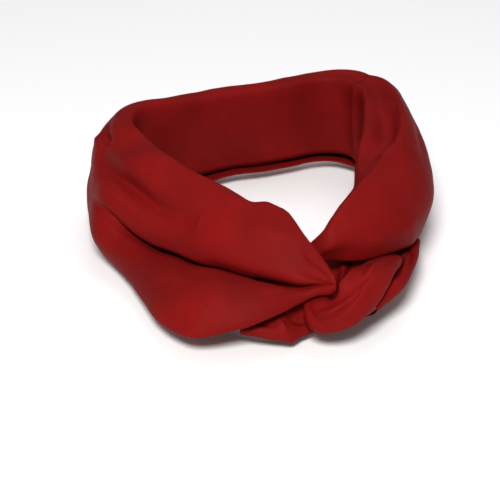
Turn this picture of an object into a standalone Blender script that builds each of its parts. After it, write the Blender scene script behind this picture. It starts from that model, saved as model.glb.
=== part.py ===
"""Neck scarf, worn: one thin oblong folded round the neck and half-knotted in front.

Metres, +Z up, the wearer faces -Y. The origin is on the neck's axis, level with the lowest hem.
Every stretch of cloth is a wall lofted through upright sections. A section round the neck lies
in the plane that faces TURN degrees from the front, and a section of the knot in a plane through
the pinch. Inside a section, places are given as a reach out from the axis and a height, in mm.
"""
import bpy
import bmesh
import numpy as np
from math import radians, sin, cos

MM = 0.001
WALL = 1.2 * MM
NECK_AXIS = (0.0, 0.0)
PINCH_AXIS = (0.0, -93.0)
HEM_LEAN = 3.0
ROLL_LEAN = 1.0
ROLL_SHARE = 0.35
HANGING_HEM = 4.0
STRAIGHT_HEM = 2.0
UNDER_DROP = 2.0
UNDER_TURN = 3.0
UNDER_RUN = 15.0
TIP_RUN = 2.6
TIP_DROP = 0.9
FULL_SECTION = 45.0
GROOVE_BACK = (-0.87, -0.50)
UPPER_PLACES = (0.30, 0.66, 0.93)
UPPER_SHARES = (0.85, 1.0, 0.30)
LIP_SHARE = 0.20
LOWER_PLACES = (0.14, 0.55)
LOWER_SHARES = (0.45, 1.0)
MIDWAY = 0.5
BELLY_PUFF = 3.0
SKIRT_PUFF = 1.5
CREST_PUFF = 1.0
CREASE_SHARE = 0.45
LOBE_PUFF = 1.8
LOBE_UNDER = ((-1.0, -2.2), (-4.5, -3.6))
STEPS_ROUND = 2
STEPS_ACROSS = 2
STEEPEST_TURN = 0.35
EASING_ROUNDS = 200
NORMAL_ROUNDS = 2

CLOTH_COLOUR = (0.262, 0.012, 0.013, 1.0)
CLOTH_ROUGHNESS = 0.55

# The wearer's right: two broad panels with one deep fold between them, gathered to the pinch.
# The fold columns place the fold's mouth, and the hem is the edge turned in against the neck.
DRAPE_COLUMNS = ("turn", "top_reach", "top_height", "fold_reach", "fold_height", "fold_depth",
                 "edge_reach", "edge_height", "upper_puff", "lower_puff", "hem")
DRAPE_ROWS = (
    (125.8, 70, 51, 89, 26, 0.0, 87, 1, 5.0, 3.0, 40),
    (115, 60, 50.5, 82.5, 26, 0.0, 82, 1, 7.0, 3.0, 41),
    (102, 53, 50, 81, 24, 0.0, 79, 1, 8.0, 3.0, 40),
    (91, 49.5, 50, 79, 27, 1.5, 78, 1, 8.0, 5.0, 39),
    (80, 47, 50, 71, 20, 5.0, 77.5, 2.5, 8.0, 5.5, 38),
    (69, 45.5, 49, 65.5, 16, 7.0, 80, 4, 7.5, 6.5, 36),
    (57, 44, 47.5, 64, 16.5, 8.0, 87.5, 5, 7.0, 7.5, 34),
    (46, 44, 46, 67, 18, 8.0, 99, 6, 6.5, 8.5, 31),
    (36, 46.5, 45, 71, 21, 8.0, 107, 8, 6.0, 8.5, 24),
    (27, 50, 43.5, 75, 21, 7.5, 104, 11.5, 5.5, 7.5, 14),
    (18, 52, 44.5, 80, 21, 7.0, 98, 15, 5.0, 5.0, 4.5),
    (10, 60, 42, 84.5, 20.5, 4.0, 91, 17, 4.0, 2.5, 2.0),
    (5.4, 73, 37, 87, 22.5, 1.8, 89.5, 18.8, 2.5, 1.2, 1.0),
    (2.2, 83, 32, 90.5, 24.5, 0.8, 91.5, 20.2, 1.5, 0.8, 0.8),
    (0.6, 88.5, 28.5, 92.5, 25.2, 0.2, 91.8, 21.5, 0.6, 0.4, 0.6),
)

# Round the nape and down the wearer's left: a band whose crest stands above its inner edge.
BAND_COLUMNS = ("turn", "top_reach", "top_height", "crest_reach", "crest_height", "belly_reach",
                "belly_height", "edge_reach", "edge_height", "dent", "hem")
NAPE_ROWS = (
    (234.5, 73, 50, 86, 50.5, 95, 30, 92, 4, 2.0, 38),
    (222, 72, 49, 82, 49.5, 92, 30, 89, 5, 1.0, 38),
    (208, 62, 48, 71, 48.5, 79, 30, 77, 5, 0.5, 38),
    (194, 56.5, 47, 64.5, 47.5, 72, 30, 70, 5, 0.0, 38),
    (180, 55, 47, 63, 47.5, 71, 29, 69, 5, 0.0, 38),
    (166, 55.5, 47, 63.5, 47, 72, 29, 70, 4, 0.0, 38),
    (152, 59, 48, 67.5, 47.5, 77, 28, 75, 3, 0.0, 38),
    (138, 66, 50, 75.5, 48.5, 86, 27, 84, 2, 0.0, 39),
    (126.5, 70, 51, 79.5, 47, 89, 26, 87, 1, 0.0, 40),
)
BAND_ROWS = (
    (-125, 73, 50, 86, 50.5, 95, 30, 92, 4, 2.0, 38),
    (-117, 65, 48.5, 81.5, 51, 93, 30, 90, 3, 3.0, 38),
    (-105, 54, 48, 73, 51.5, 84.5, 29, 82, 2, 3.5, 38),
    (-90, 46.5, 47.5, 65.5, 51, 79, 28, 77, 3, 4.5, 38),
    (-75, 42, 46.5, 60, 50, 76, 28, 72, 5, 4.5, 37),
    (-60, 41, 44.5, 54.5, 49.5, 75.5, 29, 69, 6, 3.0, 35),
    (-48, 43, 43, 53, 49, 76, 30, 71.5, 11.5, 2.0, 28),
    (-36, 47, 41, 54, 48.5, 77, 32, 76.5, 19, 1.0, 19),
    (-26, 50, 39, 56, 47.5, 76.5, 34, 77, 21.5, 0.5, 13),
    (-16, 54, 36, 60, 45.5, 75, 35, 75.5, 22.5, 0.0, 9),
    (-8, 58, 33, 65, 42.5, 74, 34.5, 73, 23.7, 0.0, 6),
    (-2, 62, 29, 69, 38, 74, 32.5, 71, 24.3, 0.0, 3),
    (4, 61.5, 24, 65.5, 28.5, 69, 25.5, 67, 21, 0.0, 1.5),
)

# The knot: each row is a plane through the pinch, SWING degrees from the front. The brim is the
# lobe's inner edge beside the pinch, the crown its highest line and the edge where it turns under.
LOBE_COLUMNS = ("swing", "brim_reach", "brim_height", "crown_reach", "crown_height",
                "edge_reach", "edge_height", "crease", "hem")
LOBE_ROWS = (
    (-141, 14, 19, 31, 16.6, 52.5, 12.4, 0.0, 1.6),
    (-137, 13.5, 21, 30, 18, 52.5, 13.4, 0.5, 1.6),
    (-132, 13, 24, 28, 20.2, 50, 14.4, 1.0, 1.6),
    (-127, 12, 26.5, 26, 23.2, 47.5, 15.7, 1.5, 1.6),
    (-120, 10.5, 29, 24, 28.4, 43.5, 20, 2.0, 1.6),
    (-104, 6.5, 29.4, 18.3, 31, 29.5, 23.8, 2.6, 1.6),
    (-86, 4, 28.3, 14.4, 29.6, 22, 21.8, 2.6, 1.6),
    (-65, 3, 27.2, 12.4, 28, 17.4, 19.2, 2.6, 1.6),
    (-42, 2, 26, 11.4, 26, 14.8, 16.6, 2.3, 1.6),
    (-18, 1.8, 25, 10.9, 24, 13.7, 14.5, 2.3, 1.6),
    (8, 2, 23.6, 10.9, 22, 13.2, 12.5, 2.3, 1.6),
    (32, 2.2, 21.6, 10.9, 20, 13.2, 11, 2.0, 1.6),
    (56, 2.4, 19.8, 11.4, 17, 13.7, 9.5, 1.5, 1.6),
    (80, 2.8, 18.6, 12, 15.4, 14.2, 9.6, 1.0, 1.6),
    (104, 3.4, 17.8, 12, 15.6, 14.4, 11.2, 0.5, 1.6),
    (128, 4, 17.2, 11.8, 16, 14.6, 12.8, 0.5, 1.6),
    (146, 4.5, 16.6, 11.2, 15.8, 13.6, 13, 0.5, 1.6),
)
PLEAT_ROWS = (
    (-137, 50, 6, 59, 6.8, 67, 5, 0.0, 4),
    (-131, 45, 7.8, 60, 9.4, 73.5, 8.4, 0.0, 4),
    (-124, 37, 10.8, 49, 14, 60.5, 13, 0.0, 5),
    (-113, 26, 13, 36.5, 18.1, 44.2, 16, 0.0, 5),
    (-101, 17, 13.5, 27, 18.6, 33.2, 15.8, 0.0, 5),
    (-88, 11.5, 13, 18.5, 16.7, 23.8, 14.6, 0.0, 4),
    (-76, 9.5, 11.5, 14, 14.2, 18.3, 12.6, 0.0, 3),
)
HOLLOW_ROWS = (
    (-203, 6, 14, 18, 13, 31, 13.4, 0.0, 1.6),
    (-192, 4.5, 15, 20, 17, 36, 17.2, 0.0, 1.6),
    (-176, 4, 15.3, 20, 18, 39.5, 17.6, 0.0, 1.6),
    (-163, 4, 15.8, 18, 17.6, 40.5, 17.6, 0.0, 1.6),
    (-153, 4.5, 16, 15, 19.6, 40, 16.8, 0.0, 1.6),
    (-146, 4.5, 15.5, 17, 15.4, 40, 15, 0.0, 1.6),
    (-137, 5, 14, 18, 13, 38, 12.6, 0.0, 1.6),
    (-126, 6.5, 12.5, 18, 11.4, 31, 11.5, 0.0, 1.6),
)

# The tucked end: shallow pleats that come out under the right-hand drape.
TAIL_ROWS = (
    (25.5, 85, 7, 93, 8.2, 96.5, 6.8, 0.0, 4),
    (21.5, 83, 8.2, 92.5, 8.9, 97, 6.2, 0.0, 4),
    (17.5, 81, 9.3, 92, 9.5, 97, 4.8, 0.0, 4),
    (14.8, 79.5, 10.4, 92, 10.7, 98, 4.8, 0.0, 4),
    (12.4, 78.5, 11.6, 90, 8.6, 97, 3, 0.0, 4),
    (10, 78.5, 11.8, 88, 6.3, 93.5, 2.8, 0.0, 3),
    (7.5, 79, 11, 86.5, 5.3, 91, 2.5, 0.0, 2.5),
    (5, 80, 9.2, 85, 4.4, 88, 2, 0.0, 2.5),
)


def blend(a, b, share):
    return (a[0] + (b[0] - a[0]) * share, a[1] + (b[1] - a[1]) * share)


def shifted(point, direction, distance):
    return (point[0] + direction[0] * distance, point[1] + direction[1] * distance)


def outward(a, b):
    """Unit direction square to the run from a to b, on the outer and upper side."""
    run = np.array([b[0] - a[0], b[1] - a[1]])
    run = run / max(np.hypot(*run), 1e-6)
    return (-run[1], run[0])


def through_rows(table, steps):
    """Rows eased between the table's own rows, STEPS to each interval."""
    rows = np.array(table, float)
    slopes = np.gradient(rows, axis=0)
    eased = []
    for i in range(len(rows) - 1):
        for k in range(steps):
            eased.append(hermite(rows[i], rows[i + 1], slopes[i], slopes[i + 1], k / steps))
    eased.append(rows[-1])
    return np.array(eased)


def hermite(start, end, slope_start, slope_end, t):
    t2, t3 = t * t, t * t * t
    return (start * (2 * t3 - 3 * t2 + 1) + slope_start * (t3 - 2 * t2 + t)
            + end * (3 * t2 - 2 * t3) + slope_end * (t3 - t2))


def through_points(points, steps):
    """A smooth curve through a section's named points, eased by the root of their spacing."""
    points = np.array(points, float)
    gaps = np.sqrt(np.maximum(np.linalg.norm(np.diff(points, axis=0), axis=1), 1e-3))
    stops = np.concatenate([[0.0], np.cumsum(gaps)])
    slopes = np.gradient(points, stops, axis=0)
    curve = []
    for i in range(len(points) - 1):
        for k in range(steps):
            curve.append(hermite(points[i], points[i + 1], slopes[i] * gaps[i],
                                 slopes[i + 1] * gaps[i], k / steps))
    curve.append(points[-1])
    return np.array(curve)


def turned_in(top, onward, hem, lean):
    """The hem inside the top edge: a long one hangs down, a short one runs on from the cloth."""
    length = np.hypot(top[0] - onward[0], top[1] - onward[1])
    straight = ((top[0] - onward[0]) / length, (top[1] - onward[1]) / length)
    spread = min(1.0, max(0.0, (HANGING_HEM - hem) / (HANGING_HEM - STRAIGHT_HEM)))
    direction = np.array(blend((0.0, -1.0), straight, spread))
    direction = direction / np.hypot(*direction)
    roll = shifted(top, direction, ROLL_SHARE * hem)
    end = shifted(top, direction, hem)
    return ((end[0] + lean * (1.0 - spread), end[1]), (roll[0] - ROLL_LEAN * (1.0 - spread), roll[1]))


def turned_under(edge, full):
    """The lower edge folded back under the cloth, shorter towards a tip."""
    drop = UNDER_DROP * full + TIP_DROP * (1.0 - full)
    turn = UNDER_TURN * full + 0.5 * TIP_RUN * (1.0 - full)
    run = UNDER_RUN * full ** 2 + TIP_RUN * (1.0 - full)
    return ((edge[0] - turn, edge[1] - drop), (edge[0] - run, edge[1] - drop))


def fullness(top, edge):
    return min(1.0, np.hypot(edge[0] - top[0], edge[1] - top[1]) / FULL_SECTION)


def drape_section(row):
    """Turned-in hem, upper panel, deep fold, lower panel and the edge turned under."""
    cell = dict(zip(DRAPE_COLUMNS, row))
    top = (cell["top_reach"], cell["top_height"])
    fold = (cell["fold_reach"], cell["fold_height"])
    edge = (cell["edge_reach"], cell["edge_height"])
    full = fullness(top, edge)
    upper, lower = outward(top, fold), outward(fold, edge)
    onward, broad, lip = (
        shifted(blend(top, fold, place), upper, share * cell["upper_puff"])
        for place, share in zip(UPPER_PLACES, UPPER_SHARES))
    shelf, skirt = (
        shifted(blend(fold, edge, place), lower, share * cell["lower_puff"])
        for place, share in zip(LOWER_PLACES, LOWER_SHARES))
    return (
        *turned_in(top, onward, cell["hem"], HEM_LEAN * full),
        top,
        onward,
        broad,
        shifted(lip, upper, LIP_SHARE * cell["fold_depth"]),
        shifted(fold, GROOVE_BACK, cell["fold_depth"]),
        shelf,
        skirt,
        edge,
        *turned_under(edge, full),
    )


def band_section(row):
    """Turned-in hem, a soft dent, the crest, the belly and the edge turned under."""
    cell = dict(zip(BAND_COLUMNS, row))
    top = (cell["top_reach"], cell["top_height"])
    crest = (cell["crest_reach"], cell["crest_height"])
    belly = (cell["belly_reach"], cell["belly_height"])
    edge = (cell["edge_reach"], cell["edge_height"])
    full = fullness(top, edge)
    onward = shifted(blend(top, crest, MIDWAY), outward(top, crest), CREST_PUFF - cell["dent"])
    return (
        *turned_in(top, onward, cell["hem"], HEM_LEAN * full),
        top,
        onward,
        crest,
        shifted(blend(crest, belly, MIDWAY), outward(crest, belly), BELLY_PUFF * full),
        belly,
        shifted(blend(belly, edge, MIDWAY), outward(belly, edge), SKIRT_PUFF * full),
        edge,
        *turned_under(edge, full),
    )


def lobe_section(row):
    """Brim turned down inside, a crease, the crown and the edge turned under."""
    cell = dict(zip(LOBE_COLUMNS, row))
    brim = (cell["brim_reach"], cell["brim_height"])
    crown = (cell["crown_reach"], cell["crown_height"])
    edge = (cell["edge_reach"], cell["edge_height"])
    crease = CREST_PUFF - cell["crease"]
    onward = shifted(blend(brim, crown, CREASE_SHARE), outward(brim, crown), crease)
    return (
        *turned_in(brim, onward, cell["hem"], 0.0),
        brim,
        onward,
        crown,
        shifted(blend(crown, edge, MIDWAY), outward(crown, edge), LOBE_PUFF),
        edge,
        *(shifted(edge, step, 1.0) for step in LOBE_UNDER),
    )


def place(axis, turn, reach, height):
    """A point in metres from its plane's turn, its reach and its height."""
    angle = radians(turn)
    return ((axis[0] - reach * sin(angle)) * MM, (axis[1] - reach * cos(angle)) * MM, height * MM)


def loft(axis, rows, section):
    """The outer side of a wall: a line of points for each plane, planes in falling turn."""
    rows = sorted(rows, reverse=True)
    grid = []
    for row in through_rows(rows, STEPS_ROUND):
        curve = through_points(section(row), STEPS_ACROSS)
        grid.append([place(axis, row[0], reach, height) for reach, height in curve])
    return np.array(grid)


def folds_back(inner, outer, axis):
    """Where a step of the inner side no longer runs with the outer side's step."""
    step, lead = np.diff(inner, axis=axis), np.diff(outer, axis=axis)
    against = (step * lead).sum(axis=2) < STEEPEST_TURN * (lead * lead).sum(axis=2)
    before = [(0, 0), (0, 0)]
    after = [(0, 0), (0, 0)]
    before[axis], after[axis] = (1, 0), (0, 1)
    return np.pad(against, before) | np.pad(against, after)


def unit(vectors):
    return vectors / np.linalg.norm(vectors, axis=-1, keepdims=True)


def inner_side(outer):
    """The wall's inner side: WALL in from the outer one, with its tight bends eased open."""
    across, along = np.gradient(outer, axis=1), np.gradient(outer, axis=0)
    normal = unit(np.cross(across, along))
    for _ in range(NORMAL_ROUNDS):
        padded = np.pad(normal, ((1, 1), (1, 1), (0, 0)), mode="edge")
        normal = unit(2.0 * normal + padded[:-2, 1:-1] + padded[2:, 1:-1]
                      + padded[1:-1, :-2] + padded[1:-1, 2:])
    inner = outer - WALL * normal
    for _ in range(EASING_ROUNDS):
        for axis in (1, 0):
            loose = folds_back(inner, outer, axis)
            middle = inner.copy()
            rows = np.moveaxis(middle, axis, 0)
            rows[1:-1] = 0.5 * (np.moveaxis(inner, axis, 0)[:-2] + np.moveaxis(inner, axis, 0)[2:])
            inner = np.where(loose[..., None], middle, inner)
    return inner


def cloth_material():
    material = bpy.data.materials.new("cloth")
    material.use_nodes = True
    shader = material.node_tree.nodes["Principled BSDF"]
    shader.inputs["Base Color"].default_value = CLOTH_COLOUR
    shader.inputs["Roughness"].default_value = CLOTH_ROUGHNESS
    shader.inputs["Metallic"].default_value = 0.0
    return material


def add_side(body, grid, facing_out):
    """One side of a wall: a create_grid sheet moved onto its points."""
    along, across = grid.shape[:2]
    side = bmesh.ops.create_grid(body, x_segments=along - 1, y_segments=across - 1, size=0.5)
    for vert in side["verts"]:
        i = round((vert.co.x + 0.5) * (along - 1))
        j = round((vert.co.y + 0.5) * (across - 1))
        vert.co = grid[i, j]
    faces = list({face for vert in side["verts"] for face in vert.link_faces})
    if not facing_out:
        bmesh.ops.reverse_faces(body, faces=faces)


def wall(name, outer, material):
    """A closed wall: its outer side, its inner side and the rim that joins them."""
    body = bmesh.new()
    add_side(body, outer, True)
    add_side(body, inner_side(outer), False)
    rims = [edge for edge in body.edges if edge.is_boundary]
    bmesh.ops.bridge_loops(body, edges=rims)
    bmesh.ops.recalc_face_normals(body, faces=body.faces)
    mesh = bpy.data.meshes.new(name)
    body.to_mesh(mesh)
    body.free()
    mesh.shade_smooth()
    piece = bpy.data.objects.new(name, mesh)
    bpy.context.collection.objects.link(piece)
    piece.data.materials.append(material)
    return piece


for leftover in list(bpy.data.objects):
    bpy.data.objects.remove(leftover)

WALLS = (
    ("nape_stretch", NECK_AXIS, NAPE_ROWS, band_section),
    ("right_hand_drape", NECK_AXIS, DRAPE_ROWS, drape_section),
    ("left_hand_band", NECK_AXIS, BAND_ROWS, band_section),
    ("knot_wrap", PINCH_AXIS, LOBE_ROWS, lobe_section),
    ("wrap_pleats", PINCH_AXIS, PLEAT_ROWS, lobe_section),
    ("hollow_pleat", PINCH_AXIS, HOLLOW_ROWS, lobe_section),
    ("tucked_end", NECK_AXIS, TAIL_ROWS, lobe_section),
)
cloth = cloth_material()
for name, axis, rows, section in WALLS:
    wall(name, loft(axis, rows, section), cloth)
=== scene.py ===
"""A deep red silk neck scarf, folded lengthwise, worn round the neck and half-knotted in front.

Metres, +Z up, the wearer faces -Y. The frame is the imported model; each stretch of cloth below
takes the place of its solid. Nape, drape, band and tail stand on the solids' own rows at finer
steps, with hanging hems a tenth longer and a flatter tail; the lobe, the pleats and the knot's
hollow have rows refitted from them.
"""

import bpy
import bmesh
import numpy as np
from math import cos, pi, radians, sin
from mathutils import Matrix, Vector, noise


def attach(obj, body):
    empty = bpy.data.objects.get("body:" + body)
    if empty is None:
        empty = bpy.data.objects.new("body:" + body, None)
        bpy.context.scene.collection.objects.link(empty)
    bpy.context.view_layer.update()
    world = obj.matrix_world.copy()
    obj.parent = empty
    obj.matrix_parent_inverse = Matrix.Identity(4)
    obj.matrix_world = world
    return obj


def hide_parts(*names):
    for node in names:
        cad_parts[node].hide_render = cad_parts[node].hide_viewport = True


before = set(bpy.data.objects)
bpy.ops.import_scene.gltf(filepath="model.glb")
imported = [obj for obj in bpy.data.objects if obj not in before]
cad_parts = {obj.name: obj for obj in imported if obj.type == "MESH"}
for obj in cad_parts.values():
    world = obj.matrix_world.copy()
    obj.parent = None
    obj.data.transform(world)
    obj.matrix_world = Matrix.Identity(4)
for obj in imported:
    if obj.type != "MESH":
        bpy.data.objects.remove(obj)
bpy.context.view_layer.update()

# Camera: a long lens, to the viewer's left of the knot and well above it, as in the photograph.
AIM = Vector((-0.016, -0.022, 0.006))
SWING, RISE, DISTANCE = radians(-18.0), radians(30.0), 0.85
LENS, SENSOR, NEAREST = 135.0, 36.0, 0.05

camera = bpy.data.objects.new("camera", bpy.data.cameras.new("camera"))
bpy.context.collection.objects.link(camera)
back = Vector((sin(SWING) * cos(RISE), -cos(SWING) * cos(RISE), sin(RISE)))
camera.location = AIM + back * DISTANCE
camera.rotation_euler = back.to_track_quat("Z", "Y").to_euler()
camera.data.lens = LENS
camera.data.sensor_width = SENSOR
camera.data.sensor_fit = "HORIZONTAL"
camera.data.clip_start = NEAREST
bpy.context.scene.camera = camera

# Measures in mm and shares that every stretch of the cloth goes by.
MM = 0.001
CLOTH = 0.5 * MM
NECK_AXIS = (0.0, 0.0)
FULL_TURN = 360
MIDWAY = 0.5
HEM_LEAN = 3.0
ROLL_LEAN = 1.0
ROLL_SHARE = 0.35
HANGING_HEM = 4.0
STRAIGHT_HEM = 2.0
LONGER_HEM = 0.10
UNDER_DROP, UNDER_TURN, UNDER_RUN = 2.0, 3.0, 15.0
TIP_DROP, TIP_RUN = 0.9, 2.6
FULL_SECTION = 45.0
CREST_PUFF, BELLY_PUFF, SKIRT_PUFF = 1.0, 3.0, 1.5
BROAD_SWELL, FINE_SWELL, FINE_SIZE = 0.7, 0.22, 8.0

# Steps from one row of a table to the next, and from one named point of a section to the next.
PANEL_STEPS = (14, 10)
LOBE_STEPS = (12, 12)
PLEAT_STEPS = (14, 12)
MEETING_LINES = 13

# A fold ends FOLD_MARKS of the named points beyond its line, and its depth wavers along it.
FOLD_MARKS, FOLD_FADE, FOLD_STEPS = 1.3, 0.7, 8
WAVER, WAVER_RATE, WAVER_SHIFT = 0.22, 9.0, 3.0

# Nape stretch: the folded silk where it passes round the back of the neck. One thin cloth, its
# upper edge turned over and hanging down inside against the neck, its lower edge turned under.
BAND_COLUMNS = ("turn", "top_reach", "top_height", "crest_reach", "crest_height", "belly_reach",
                "belly_height", "edge_reach", "edge_height", "dent", "hem")
NAPE_ROWS = (
    (234.5, 73, 50, 86, 50.5, 95, 30, 92, 4, 2.0, 38),
    (222, 72, 49, 82, 49.5, 92, 30, 89, 5, 1.0, 38),
    (208, 62, 48, 71, 48.5, 79, 30, 77, 5, 0.5, 38),
    (194, 56.5, 47, 64.5, 47.5, 72, 30, 70, 5, 0.0, 38),
    (180, 55, 47, 63, 47.5, 71, 29, 69, 5, 0.0, 38),
    (166, 55.5, 47, 63.5, 47, 72, 29, 70, 4, 0.0, 38),
    (152, 59, 48, 67.5, 47.5, 77, 28, 75, 3, 0.0, 38),
    (138, 66, 50, 75.5, 48.5, 86, 27, 84, 2, 0.0, 39),
    (126.5, 70, 51, 79.5, 47, 89, 26, 87, 1, 0.0, 40),
)
NAPE_FOLDS = (
    (-1.3, 4.0, ((-134, 4.5), (-152, 4.9), (-170, 5.0))),
    (0.8, 3.5, ((-144, 5.5), (-163, 5.8), (-182, 5.6))),
    (-1.2, 4.5, ((-158, 6.3), (-179, 6.1), (-200, 6.4))),
    (-1.2, 3.5, ((-186, 4.9), (-204, 4.7), (-223, 4.9))),
    (0.7, 3.0, ((-194, 5.5), (-211, 5.4), (-225, 5.7))),
    (-0.9, 3.0, ((-210, 6.6), (-220, 6.4), (-229, 6.6))),
)


def blend(a, b, share):
    return (a[0] + (b[0] - a[0]) * share, a[1] + (b[1] - a[1]) * share)


def shifted(point, direction, distance):
    return (point[0] + direction[0] * distance, point[1] + direction[1] * distance)


def outward(a, b):
    """Unit direction square to the run from a to b, on the outer and upper side."""
    run = np.array([b[0] - a[0], b[1] - a[1]])
    run = run / max(np.hypot(*run), 1e-6)
    return (-run[1], run[0])


def hermite(start, end, slope_start, slope_end, t):
    t2, t3 = t * t, t * t * t
    return (start * (2 * t3 - 3 * t2 + 1) + slope_start * (t3 - 2 * t2 + t)
            + end * (3 * t2 - 2 * t3) + slope_end * (t3 - t2))


def through_rows(table, steps):
    """Rows eased between the table's own rows, STEPS to each interval."""
    rows = np.array(table, float)
    slopes = np.gradient(rows, axis=0)
    eased = [hermite(rows[i], rows[i + 1], slopes[i], slopes[i + 1], k / steps)
             for i in range(len(rows) - 1) for k in range(steps)]
    return np.array(eased + [rows[-1]])


def through_points(points, steps):
    """A smooth curve through a section's named points, eased by the root of their spacing."""
    points = np.array(points, float)
    gaps = np.sqrt(np.maximum(np.linalg.norm(np.diff(points, axis=0), axis=1), 1e-3))
    stops = np.concatenate([[0.0], np.cumsum(gaps)])
    slopes = np.gradient(points, stops, axis=0)
    curve = [hermite(points[i], points[i + 1], slopes[i] * gaps[i], slopes[i + 1] * gaps[i], k / steps)
             for i in range(len(points) - 1) for k in range(steps)]
    return np.array(curve + [points[-1]])


def turned_in(top, onward, hem, lean):
    """The hem inside the top edge: a long one hangs down, a short one runs on from the cloth."""
    length = np.hypot(top[0] - onward[0], top[1] - onward[1])
    straight = ((top[0] - onward[0]) / length, (top[1] - onward[1]) / length)
    spread = min(1.0, max(0.0, (HANGING_HEM - hem) / (HANGING_HEM - STRAIGHT_HEM)))
    direction = np.array(blend((0.0, -1.0), straight, spread))
    direction = direction / np.hypot(*direction)
    hem = hem * (1.0 + LONGER_HEM * (1.0 - spread))
    roll = shifted(top, direction, ROLL_SHARE * hem)
    end = shifted(top, direction, hem)
    return ((end[0] + lean * (1.0 - spread), end[1]), (roll[0] - ROLL_LEAN * (1.0 - spread), roll[1]))


def turned_under(edge, full):
    """The lower edge folded back under the cloth, shorter towards a tip."""
    drop = UNDER_DROP * full + TIP_DROP * (1.0 - full)
    turn = UNDER_TURN * full + MIDWAY * TIP_RUN * (1.0 - full)
    run = UNDER_RUN * full ** 2 + TIP_RUN * (1.0 - full)
    return ((edge[0] - turn, edge[1] - drop), (edge[0] - run, edge[1] - drop))


def fullness(top, edge):
    return min(1.0, np.hypot(edge[0] - top[0], edge[1] - top[1]) / FULL_SECTION)


def band_section(row):
    """Turned-in hem, a soft dent, the crest, the belly and the edge turned under."""
    cell = dict(zip(BAND_COLUMNS, row))
    top = (cell["top_reach"], cell["top_height"])
    crest = (cell["crest_reach"], cell["crest_height"])
    belly = (cell["belly_reach"], cell["belly_height"])
    edge = (cell["edge_reach"], cell["edge_height"])
    full = fullness(top, edge)
    onward = shifted(blend(top, crest, MIDWAY), outward(top, crest), CREST_PUFF - cell["dent"])
    return (
        *turned_in(top, onward, cell["hem"], HEM_LEAN * full),
        top,
        onward,
        crest,
        shifted(blend(crest, belly, MIDWAY), outward(crest, belly), BELLY_PUFF * full),
        belly,
        shifted(blend(belly, edge, MIDWAY), outward(belly, edge), SKIRT_PUFF * full),
        edge,
        *turned_under(edge, full),
    )


def place(axis, turn, reach, height):
    """A point in metres from its plane's turn, its reach and its height."""
    angle = radians(turn)
    return ((axis[0] - reach * sin(angle)) * MM, (axis[1] - reach * cos(angle)) * MM, height * MM)


def loft(axis, rows, section, steps_round, steps_across):
    """A grid of points, one line of them for each plane, with each line's turn in degrees."""
    grid, turns = [], []
    for row in through_rows(sorted(rows, reverse=True), steps_round):
        curve = through_points(section(row), steps_across)
        grid.append([place(axis, row[0], reach, height) for reach, height in curve])
        turns.append(row[0])
    return np.array(grid), np.array(turns)


def outer_normals(grid):
    normal = np.cross(np.gradient(grid, axis=1), np.gradient(grid, axis=0))
    return normal / np.maximum(np.linalg.norm(normal, axis=2, keepdims=True), 1e-12)


def spot(grid, turns, steps_across, turn, mark):
    """The point of the cloth at a turn, MARK of the section's named points from the hem."""
    i = int(np.argmin(np.abs(turns - turn)))
    j = min(mark * steps_across, grid.shape[1] - 1.001)
    share = j - int(j)
    return grid[i, int(j)] * (1.0 - share) + grid[i, int(j) + 1] * share


def along(line, shares):
    """The points of a line at shares of its own length."""
    return np.stack([np.interp(shares, length_shares(line), line[:, k]) for k in range(3)], axis=1)


def length_shares(line):
    run = np.concatenate([[0.0], np.cumsum(np.linalg.norm(np.diff(line, axis=0), axis=1))])
    return run / run[-1]


def run_on(first, second):
    """FIRST's last line and SECOND's first are moved to meet half way, and the corner there is
    rounded, the meeting line most and the lines beside it less and less."""
    far_first, far_second = first[-1 - MEETING_LINES].copy(), second[MEETING_LINES].copy()
    end, start = first[-1].copy(), second[0].copy()
    moves = []
    for line in (end, start):
        shares = length_shares(line)
        meeting = MIDWAY * (along(end, shares) + along(start, shares))
        chord = MIDWAY * (along(far_first, shares) + along(far_second, shares))
        moves.append(MIDWAY * (meeting + chord) - line)
    for k in range(MEETING_LINES):
        share = (1.0 - k / MEETING_LINES) ** 2
        first[-1 - k] += share * moves[0]
        second[k] += share * moves[1]


def soft_folds(grid, turns, steps_across, folds):
    """Soft troughs (a minus depth) and ridges pressed along lines of the cloth.

    Each fold is its depth and width in mm and the (turn, mark) points it runs through. It fades
    at both ends, and its depth wavers along it as a real crease's does.
    """
    marks = np.arange(grid.shape[1]) / steps_across
    push = np.zeros(grid.shape[:2])
    for depth, width, line in folds:
        stops = [spot(grid, turns, steps_across, turn, mark) for turn, mark in line]
        path = through_points(stops, FOLD_STEPS)
        lengths = np.concatenate([[0.0], np.cumsum(np.linalg.norm(np.diff(path, axis=0), axis=1))])
        nearest = np.full(grid.shape[:2], 1e9)
        share = np.zeros(grid.shape[:2])
        for a, b, start, stop in zip(path[:-1], path[1:], lengths[:-1], lengths[1:]):
            run = b - a
            t = np.clip(((grid - a) @ run) / max(run @ run, 1e-12), 0.0, 1.0)
            away = np.linalg.norm(grid - a - t[..., None] * run, axis=2)
            closer = away < nearest
            nearest = np.where(closer, away, nearest)
            share = np.where(closer, (start + t * (stop - start)) / lengths[-1], share)
        low = min(mark for _, mark in line) - FOLD_MARKS
        high = max(mark for _, mark in line) + FOLD_MARKS
        near_line = (marks > low) & (marks < high)
        fade = np.sin(pi * np.clip(share, 0.0, 1.0)) ** FOLD_FADE
        waver = 1.0 + WAVER * np.sin(WAVER_RATE * share + WAVER_SHIFT * len(line) + width)
        push += np.where(near_line, depth * MM * fade * waver
                         * np.exp(-(nearest / (width * MM)) ** 2), 0.0)
    return grid + push[..., None] * outer_normals(grid)


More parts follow.
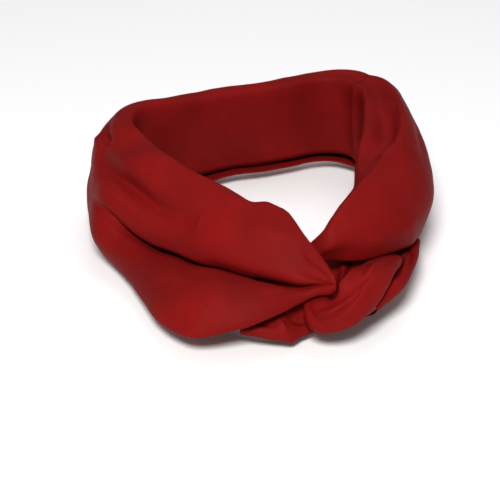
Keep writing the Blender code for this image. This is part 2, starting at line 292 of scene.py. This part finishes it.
def softly_uneven(grid, height, size, seed):
    """Very low swells over the cloth, HEIGHT and SIZE in mm, so that no stretch is quite even."""
    shift = Vector((seed * 7.1, seed * 3.3, seed * 5.7))
    swell = np.array([[noise.noise(Vector(point) / (size * MM) + shift) for point in line]
                      for line in grid])
    return grid + (height * MM) * swell[..., None] * outer_normals(grid)


def folded(axis, rows, section, steps, folds):
    """A stretch lofted through its rows with its folds pressed in, and each line's turn."""
    grid, turns = loft(axis, rows, section, *steps)
    return soft_folds(grid, turns, steps[1], folds), turns


def lived_in(grid, size, broad_seed, fine_seed):
    """Broad swells of a size in mm and fine ones on top of them."""
    broad = softly_uneven(grid, BROAD_SWELL, size, broad_seed)
    return softly_uneven(broad, FINE_SWELL, FINE_SIZE, fine_seed)


def cloth_piece(name, grid, solids, material):
    """One stretch of silk on a grid of points, with a map of its own threads in metres."""
    along, across = grid.shape[:2]
    sheet = bmesh.new()
    bmesh.ops.create_grid(sheet, x_segments=along - 1, y_segments=across - 1, size=0.5)
    steps_x = np.linalg.norm(np.diff(grid, axis=0), axis=2).mean(axis=1)
    steps_y = np.linalg.norm(np.diff(grid, axis=1), axis=2).mean(axis=0)
    warp = np.concatenate([[0.0], np.cumsum(steps_x)])
    weft = np.concatenate([[0.0], np.cumsum(steps_y)])
    threads = sheet.loops.layers.uv.new("threads")
    place_of = {}
    for vert in sheet.verts:
        i = round((vert.co.x + 0.5) * (along - 1))
        j = round((vert.co.y + 0.5) * (across - 1))
        place_of[vert] = (warp[i], weft[j])
        vert.co = grid[i, j]
    for face in sheet.faces:
        face.smooth = True
        for loop in face.loops:
            loop[threads].uv = place_of[loop.vert]
    bmesh.ops.reverse_faces(sheet, faces=sheet.faces)
    mesh = bpy.data.meshes.new(name)
    sheet.to_mesh(mesh)
    sheet.free()
    piece = bpy.data.objects.new(name, mesh)
    bpy.context.collection.objects.link(piece)
    mesh.materials.append(material)
    wall = piece.modifiers.new("cloth thickness", "SOLIDIFY")
    wall.thickness = CLOTH
    wall.offset = -1.0
    wall.thickness_clamp = 1.0
    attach(piece, "root")
    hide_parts(*solids)
    return piece


def linear(hex_colour):
    """An sRGB hex colour as the linear values that a shader takes."""
    channels = [int(hex_colour[i:i + 2], 16) / 255.0 for i in (1, 3, 5)]
    return tuple(c / 12.92 if c <= 0.04045 else ((c + 0.055) / 1.055) ** 2.4 for c in channels) + (1.0,)


def add(tree, kind, settings=None, inputs=None, links=None):
    """A node with its settings, its constant inputs and the links into it."""
    node = tree.nodes.new(kind)
    for key, value in (settings or {}).items():
        setattr(node, key, value)
    for key, value in (inputs or {}).items():
        node.inputs[key].default_value = value
    for key, source in (links or {}).items():
        tree.links.new(source, node.inputs[key])
    return node


def silk_crepe():
    """Piece-dyed silk crepe: fine twisted threads that scatter light, so it is matt with a soft
    bloom at grazing angles and a very fine grain. Its ribs are drawn about 1 mm apart, wider than
    real threads, so that they still show at the render's size."""
    material = bpy.data.materials.new("piece-dyed silk crepe")
    material.use_nodes = True
    tree = material.node_tree
    tree.nodes.clear()
    threads = add(tree, "ShaderNodeUVMap", {"uv_map": "threads"})
    place_on = add(tree, "ShaderNodeTexCoord")
    twill = add(tree, "ShaderNodeMapping", None, {"Rotation": (0.0, 0.0, radians(52.0))},
                {"Vector": threads.outputs["UV"]})
    ribs = add(tree, "ShaderNodeTexWave", {"wave_type": "BANDS", "bands_direction": "X"},
               {"Scale": 320.0, "Distortion": 1.2, "Detail": 1.0, "Detail Scale": 2.0},
               {"Vector": twill.outputs["Vector"]})
    grain = add(tree, "ShaderNodeTexNoise", None,
                {"Scale": 1000.0, "Detail": 2.0, "Roughness": 0.6},
                {"Vector": threads.outputs["UV"]})
    surface = add(tree, "ShaderNodeMix", {"data_type": "FLOAT"}, {0: 0.8},
                  {2: ribs.outputs["Fac"], 3: grain.outputs["Fac"]})
    relief = add(tree, "ShaderNodeBump", None, {"Strength": 0.25, "Distance": 0.0001},
                 {"Height": surface.outputs[0]})
    clouds = add(tree, "ShaderNodeTexNoise", None, {"Scale": 38.0, "Detail": 3.0, "Roughness": 0.5},
                 {"Vector": place_on.outputs["Object"]})
    dye = add(tree, "ShaderNodeValToRGB", None, None, {"Fac": clouds.outputs["Fac"]})
    dye.color_ramp.elements[0].position = 0.35
    dye.color_ramp.elements[0].color = linear("#74100F")
    dye.color_ramp.elements[1].position = 0.70
    dye.color_ramp.elements[1].color = linear("#861312")
    flecks = add(tree, "ShaderNodeMix", {"data_type": "RGBA", "blend_type": "MULTIPLY"},
                 {0: 0.34}, {6: dye.outputs["Color"], 7: surface.outputs[0]})
    shader = add(tree, "ShaderNodeBsdfPrincipled", None,
                 {"Roughness": 0.60, "Metallic": 0.0, "IOR": 1.5, "Specular IOR Level": 0.04,
                  "Sheen Weight": 0.03, "Sheen Roughness": 0.30,
                  "Sheen Tint": linear("#A03848")},
                 {"Base Color": flecks.outputs[2], "Normal": relief.outputs["Normal"]})
    add(tree, "ShaderNodeOutputMaterial", None, None, {"Surface": shader.outputs["BSDF"]})
    return material


silk = silk_crepe()

# Right-hand drape (the viewer's left): the broad front of the scarf. The silk falls in an upper
# and a lower panel with one deep fold between them, and is gathered to a point at the knot.
GROOVE_BACK = (-0.87, -0.50)
UPPER_PLACES, UPPER_SHARES = (0.30, 0.66, 0.93), (0.85, 1.0, 0.30)
LIP_SHARE = 0.20
LOWER_PLACES, LOWER_SHARES = (0.14, 0.55), (0.45, 1.0)
DRAPE_COLUMNS = ("turn", "top_reach", "top_height", "fold_reach", "fold_height", "fold_depth",
                 "edge_reach", "edge_height", "upper_puff", "lower_puff", "hem")
DRAPE_ROWS = (
    (125.8, 70, 51, 89, 26, 0.0, 87, 1, 5.0, 3.0, 40),
    (115, 60, 50.5, 82.5, 26, 0.0, 82, 1, 7.0, 3.0, 41),
    (102, 53, 50, 81, 24, 0.0, 79, 1, 8.0, 3.0, 40),
    (91, 49.5, 50, 79, 27, 1.5, 78, 1, 8.0, 5.0, 39),
    (80, 47, 50, 71, 20, 5.0, 77.5, 2.5, 8.0, 5.5, 38),
    (69, 45.5, 49, 65.5, 16, 7.0, 80, 4, 7.5, 6.5, 36),
    (57, 44, 47.5, 64, 16.5, 8.0, 87.5, 5, 7.0, 7.5, 34),
    (46, 44, 46, 67, 18, 8.0, 99, 6, 6.5, 8.5, 31),
    (36, 46.5, 45, 71, 21, 8.0, 107, 8, 6.0, 8.5, 24),
    (27, 50, 43.5, 75, 21, 7.5, 104, 11.5, 5.5, 7.5, 14),
    (18, 52, 44.5, 80, 21, 7.0, 98, 15, 5.0, 5.0, 4.5),
    (10, 60, 42, 84.5, 20.5, 4.0, 91, 17, 4.0, 2.5, 2.0),
    (5.4, 73, 37, 87, 22.5, 1.8, 89.5, 18.8, 2.5, 1.2, 1.0),
    (2.2, 83, 32, 90.5, 24.5, 0.8, 91.5, 20.2, 1.5, 0.8, 0.8),
    (0.6, 88.5, 28.5, 92.5, 25.2, 0.2, 91.8, 21.5, 0.6, 0.4, 0.6),
)


def drape_section(row):
    """Turned-in hem, upper panel, deep fold, lower panel and the edge turned under."""
    cell = dict(zip(DRAPE_COLUMNS, row))
    top = (cell["top_reach"], cell["top_height"])
    fold = (cell["fold_reach"], cell["fold_height"])
    edge = (cell["edge_reach"], cell["edge_height"])
    full = fullness(top, edge)
    upper, lower = outward(top, fold), outward(fold, edge)
    onward, broad, lip = (
        shifted(blend(top, fold, place), upper, share * cell["upper_puff"])
        for place, share in zip(UPPER_PLACES, UPPER_SHARES))
    shelf, skirt = (
        shifted(blend(fold, edge, place), lower, share * cell["lower_puff"])
        for place, share in zip(LOWER_PLACES, LOWER_SHARES))
    return (
        *turned_in(top, onward, cell["hem"], HEM_LEAN * full),
        top,
        onward,
        broad,
        shifted(lip, upper, LIP_SHARE * cell["fold_depth"]),
        shifted(fold, GROOVE_BACK, cell["fold_depth"]),
        shelf,
        skirt,
        edge,
        *turned_under(edge, full),
    )


DRAPE_FOLDS = (
    (-7.0, 5.0, ((112, 3.95), (94, 3.85), (83, 3.72), (73, 3.7), (62, 3.65), (48, 3.6))),
    (1.0, 4.0, ((119, 3.6), (102, 3.2), (88, 3.15), (76, 3.1))),
    (-4.6, 2.4, ((125, 3.45), (120, 3.42), (115, 3.4), (109, 3.45))),
    (1.2, 2.0, ((125, 3.85), (120, 3.85), (114, 3.8))),
    (-3.0, 1.6, ((92, 6.0), (72, 6.0), (50, 6.0), (30, 6.0), (9, 6.0))),
    (1.2, 2.2, ((94, 5.15), (72, 5.2), (44, 5.2), (14, 5.2))),
    (-0.8, 1.2, ((9, 3.7), (5.8, 3.9), (3.6, 4.1), (1.6, 4.6))),
    (-0.6, 1.0, ((12, 4.5), (9.4, 4.6), (4.6, 4.9), (1.2, 5.5))),
    (0.5, 3.0, ((8, 3.1), (18, 3.3), (36, 3.1))),
    (-0.5, 3.2, ((10, 2.6), (22, 2.7), (36, 2.6))),
    (-0.7, 4.5, ((97, 6.7), (86, 7.0), (75, 7.3))),
    (0.5, 3.5, ((62, 7.6), (42, 7.7), (24, 7.6))),
    (-0.6, 2.5, ((21, 8.1), (13, 7.9), (6, 7.5))),
    (-1.0, 4.0, ((123, 6.6), (112, 6.9), (100, 7.2))),
)

drape, _ = folded(NECK_AXIS, DRAPE_ROWS, drape_section, PANEL_STEPS, DRAPE_FOLDS)
drape = lived_in(drape, 30.0, 2, 5)

# Left-hand band (the viewer's right): the silk comes over the shoulder as a narrower band, its
# upper part rolled over towards the neck, and goes into the knot under the drape's point.
BAND_ROWS = (
    (-125, 73, 50, 86, 50.5, 95, 30, 92, 4, 2.0, 38),
    (-117, 65, 48.5, 81.5, 51, 93, 30, 90, 3, 3.0, 38),
    (-105, 54, 48, 73, 51.5, 84.5, 29, 82, 2, 3.5, 38),
    (-90, 46.5, 47.5, 65.5, 51, 79, 28, 77, 3, 4.5, 38),
    (-75, 42, 46.5, 60, 50, 76, 28, 72, 5, 4.5, 37),
    (-60, 41, 44.5, 54.5, 49.5, 75.5, 29, 69, 6, 3.0, 35),
    (-48, 43, 43, 53, 49, 76, 30, 71.5, 11.5, 2.0, 28),
    (-36, 47, 41, 54, 48.5, 77, 32, 76.5, 19, 1.0, 19),
    (-26, 50, 39, 56, 47.5, 76.5, 34, 77, 21.5, 0.5, 13),
    (-16, 54, 36, 60, 45.5, 75, 35, 75.5, 22.5, 0.0, 9),
    (-8, 58, 33, 65, 42.5, 74, 34.5, 73, 23.7, 0.0, 6),
    (-2, 62, 29, 69, 38, 74, 32.5, 71, 24.3, 0.0, 3),
    (4, 61.5, 24, 65.5, 28.5, 69, 25.5, 67, 21, 0.0, 1.5),
)

BAND_FOLDS = (
    (-3.2, 1.9, ((-3, 3.5), (-9, 3.5), (-21, 3.55), (-38, 3.55), (-56, 3.6))),
    (1.0, 1.8, ((-5, 4.15), (-12, 4.15), (-24, 4.15), (-40, 4.15), (-57, 4.2))),
    (-2.2, 4.0, ((-102, 3.3), (-91, 3.2), (-77, 3.3), (-61, 3.6))),
    (1.2, 1.4, ((-119, 3.95), (-104, 3.95), (-87, 4.0), (-71, 4.3), (-57, 4.6))),
    (-1.2, 3.5, ((-113, 4.7), (-91, 4.8), (-69, 5.2))),
    (0.6, 2.5, ((-10, 7.0), (-18, 6.9), (-29, 6.6), (-40, 6.2))),
    (-0.5, 2.5, ((-9, 6.0), (-22, 5.9), (-36, 5.5))),
    (-1.2, 4.0, ((-122, 5.8), (-101, 6.2), (-80, 6.5))),
    (0.8, 3.5, ((-117, 6.9), (-97, 7.1), (-79, 7.2))),
)

ring_rows = BAND_ROWS + tuple((row[0] - FULL_TURN, *row[1:]) for row in NAPE_ROWS[1:])
ring_folds = BAND_FOLDS + NAPE_FOLDS
ring, ring_turns = folded(NECK_AXIS, ring_rows, band_section, PANEL_STEPS, ring_folds)
ring = lived_in(ring, 28.0, 3, 6)
shoulder = int(np.argmin(np.abs(ring_turns - BAND_ROWS[0][0])))
band, nape = ring[:shoulder + 1].copy(), ring[shoulder:].copy()
run_on(band, nape)
run_on(nape, drape)
cloth_piece("drape_cloth", drape, ["right_hand_drape"], silk)
cloth_piece("band_cloth", band, ["left_hand_band"], silk)
cloth_piece("nape_cloth", nape, ["nape_stretch"], silk)

# Knot: the silk comes out from under the band, turns round the pinch as one soft lobe and goes
# back under the drape. Thin pleats of the same cloth stand at its outer side and in its hollow.
PINCH_AXIS = (0.0, -93.0)
CREASE_SHARE = 0.45
LOBE_PUFF = 1.1
LOBE_UNDER = ((-1.0, -2.2), (-4.5, -3.6))
LOBE_COLUMNS = ("swing", "brim_reach", "brim_height", "crown_reach", "crown_height",
                "edge_reach", "edge_height", "crease", "hem")
LOBE_ROWS = (
    (-150, 14, 17, 34, 15.5, 51, 14, 0.0, 1.6),
    (-141, 14, 20, 31, 18, 52, 15.6, 0.0, 1.6),
    (-137, 13.5, 22, 30, 19.8, 52, 16, 0.5, 1.6),
    (-132, 13, 24.3, 28, 21.8, 50.5, 16.4, 1.0, 1.6),
    (-127, 12, 26.3, 26, 23.6, 47.8, 17.0, 1.5, 1.6),
    (-120, 10.5, 28.4, 24, 26.2, 43.5, 19.4, 2.0, 1.6),
    (-104, 6.5, 29.2, 18.3, 29.4, 29.8, 23.4, 2.6, 1.6),
    (-86, 4, 28.3, 14.4, 29.6, 22, 21.8, 2.6, 1.6),
    (-65, 3, 27.2, 12.4, 28, 17.4, 19.2, 2.6, 1.6),
    (-42, 2, 26, 11.4, 26, 14.8, 16.6, 2.3, 1.6),
    (-18, 1.8, 25, 10.9, 24, 13.7, 14.5, 2.3, 1.6),
    (8, 2, 23.6, 10.9, 22, 13.2, 12.5, 2.3, 1.6),
    (32, 2.2, 21.6, 10.9, 20, 13.2, 11, 2.0, 1.6),
    (56, 2.4, 19.8, 11.4, 17, 13.7, 9.5, 1.5, 1.6),
    (80, 2.8, 18.6, 12, 15.4, 14.2, 9.6, 1.0, 1.6),
    (104, 3.4, 17.8, 12, 15.6, 14.4, 11.2, 0.5, 1.6),
    (128, 4, 17.2, 11.8, 16, 14.6, 12.8, 0.5, 1.6),
    (146, 4.5, 16.6, 11.2, 15.8, 13.6, 13, 0.5, 1.6),
)
PLEAT_ROWS = (
    (-145, 48, 7.5, 58, 8.5, 69, 7.5, 0.0, 4),
    (-137, 50, 8.5, 59, 10, 72, 9.3, 0.0, 4),
    (-131, 45, 9.5, 60, 12, 75.5, 11, 0.0, 4),
    (-124, 37, 12, 49, 15.8, 62, 14.2, 0.0, 5),
    (-113, 26, 13, 36.5, 18.3, 45.5, 16.2, 0.0, 5),
    (-101, 17, 13.5, 27, 18.8, 34.2, 16, 0.0, 5),
    (-88, 11.5, 13, 17.5, 16, 23, 14.4, 0.0, 4),
    (-76, 9, 11.5, 13, 13.6, 16.6, 12.4, 0.0, 3),
)
HOLLOW_ROWS = (
    (-203, 6, 12, 18, 9, 31, 9.4, 0.0, 1.6),
    (-192, 4.5, 13, 20, 11.5, 42, 13.5, 0.0, 1.6),
    (-176, 4, 14, 20, 12, 47, 15, 0.0, 1.6),
    (-163, 4.5, 15, 18, 11.6, 48, 15, 0.0, 1.6),
    (-155, 5, 16, 15, 18, 47, 16, 0.0, 1.6),
    (-148, 5, 14.4, 17, 12, 47, 14, 0.0, 1.6),
    (-137, 5, 13.5, 18, 11, 43, 12, 0.0, 1.6),
    (-126, 6.5, 12.5, 18, 10.5, 41, 11.5, 0.0, 1.6),
    (-114, 8, 12, 18, 10, 32, 10.5, 0.0, 1.6),
)


def lobe_section(row):
    """Brim turned down inside, a crease, the crown and the edge turned under."""
    cell = dict(zip(LOBE_COLUMNS, row))
    brim = (cell["brim_reach"], cell["brim_height"])
    crown = (cell["crown_reach"], cell["crown_height"])
    edge = (cell["edge_reach"], cell["edge_height"])
    crease = CREST_PUFF - cell["crease"]
    onward = shifted(blend(brim, crown, CREASE_SHARE), outward(brim, crown), crease)
    return (
        *turned_in(brim, onward, cell["hem"], 0.0),
        brim,
        onward,
        crown,
        shifted(blend(crown, edge, MIDWAY), outward(crown, edge), LOBE_PUFF),
        edge,
        *(shifted(edge, step, 1.0) for step in LOBE_UNDER),
    )


LOBE_FOLDS = (
    (-1.6, 1.2, ((118, 4.5), (75, 4.4), (42, 4.7), (18, 4.5), (-10, 4.0), (-49, 3.75))),
    (-1.1, 1.3, ((-116, 5.1), (-90, 4.3), (-69, 3.5), (-45, 3.3))),
    (0.5, 1.2, ((-118, 4.2), (-98, 3.8), (-76, 3.3))),
    (-0.8, 1.1, ((104, 5.2), (92, 4.9), (61, 5.1), (34, 5.8))),
    (0.5, 1.2, ((70, 4.0), (40, 4.1), (10, 3.8), (-20, 3.4))),
    (-0.6, 1.2, ((-134, 3.6), (-122, 3.5), (-104, 3.3))),
)
PLEAT_FOLDS = (
    (-1.6, 1.1, ((-136, 3.6), (-124, 3.7), (-112, 3.9), (-103, 4.1))),
    (0.6, 1.0, ((-134, 4.3), (-120, 4.4), (-108, 4.5))),
    (-1.2, 0.9, ((-134, 4.95), (-121, 5.0), (-107, 5.1))),
)
HOLLOW_FOLDS = (
    (-0.5, 1.4, ((-192, 3.2), (-184, 3.8), (-180, 4.8))),
)

lobe, _ = folded(PINCH_AXIS, LOBE_ROWS, lobe_section, LOBE_STEPS, LOBE_FOLDS)
cloth_piece("lobe_cloth", lobe, ["knot_wrap"], silk)
pleats, _ = folded(PINCH_AXIS, PLEAT_ROWS, lobe_section, PLEAT_STEPS, PLEAT_FOLDS)
cloth_piece("pleat_cloth", pleats, ["wrap_pleats"], silk)
hollow, _ = folded(PINCH_AXIS, HOLLOW_ROWS, lobe_section, LOBE_STEPS, HOLLOW_FOLDS)
cloth_piece("hollow_cloth", hollow, ["hollow_pleat"], silk)

# Tucked end: the end of the scarf, pleated, comes out under the drape beside the knot.
TAIL_ROWS = (
    (25.5, 85, 7, 93, 8.2, 96.5, 6.8, 0.0, 4),
    (21.5, 83, 8.2, 92.5, 8.9, 97, 6.2, 0.0, 4),
    (17.5, 81, 9.3, 92, 9.5, 97, 4.8, 0.0, 4),
    (14.8, 79.5, 10.4, 92, 10.7, 98, 4.8, 0.0, 4),
    (12.4, 78.5, 11.6, 90, 8.6, 97, 3, 0.0, 4),
    (10, 78.5, 11.8, 88, 6.3, 93.5, 2.8, 0.0, 3),
    (7.5, 79, 11, 86.5, 5.3, 91, 2.5, 0.0, 2.5),
    (5, 80, 9.2, 85, 4.4, 88, 2, 0.0, 2.5),
)

TAIL_FOLDS = (
    (-1.8, 1.6, ((13.5, 3.5), (11, 3.9), (8.5, 4.3))),
    (0.7, 1.1, ((17.5, 3.5), (15, 4.5), (13, 5.6))),
    (-1.1, 1.3, ((23, 4.3), (19.5, 4.3), (16.5, 4.8))),
)

tail, _ = folded(NECK_AXIS, TAIL_ROWS, lobe_section, LOBE_STEPS, TAIL_FOLDS)
cloth_piece("tail_cloth", tail, ["tucked_end"], silk)

# Floor and light: a plain pale table under the scarf and a soft studio light from the upper left.
FLOOR_HEIGHT = -0.0035
FLOOR_SIZE = 3.0
ROOM_LIGHT = 0.26

floor_mesh = bmesh.new()
bmesh.ops.create_grid(floor_mesh, x_segments=1, y_segments=1, size=FLOOR_SIZE)
for vert in floor_mesh.verts:
    vert.co.z = FLOOR_HEIGHT
floor_data = bpy.data.meshes.new("floor")
floor_mesh.to_mesh(floor_data)
floor_mesh.free()
floor = bpy.data.objects.new("floor", floor_data)
bpy.context.collection.objects.link(floor)
paper = bpy.data.materials.new("matt white paper")
paper.use_nodes = True
paper_shader = paper.node_tree.nodes["Principled BSDF"]
paper_shader.inputs["Base Color"].default_value = linear("#FCFCFA")
paper_shader.inputs["Roughness"].default_value = 0.9
floor_data.materials.append(paper)


def soft_light(name, where, size, power, colour):
    lamp = bpy.data.lights.new(name, "AREA")
    lamp.shape = "DISK"
    lamp.size = size
    lamp.energy = power
    lamp.color = linear(colour)[:3]
    light = bpy.data.objects.new(name, lamp)
    light.location = where
    light.rotation_euler = (Vector(where) - AIM).to_track_quat("Z", "Y").to_euler()
    bpy.context.collection.objects.link(light)


soft_light("main light", (-0.38, -0.86, 1.00), size=0.38, power=19.0, colour="#FFFFFF")
soft_light("fill light", (0.30, 0.40, 1.20), size=0.90, power=4.0, colour="#F4F0FF")
world = bpy.data.worlds.new("studio")
world.use_nodes = True
world.node_tree.nodes["Background"].inputs["Color"].default_value = (1.0, 1.0, 1.0, 1.0)
world.node_tree.nodes["Background"].inputs["Strength"].default_value = ROOM_LIGHT
bpy.context.scene.world = world
bpy.context.scene.view_settings.view_transform = "Standard"
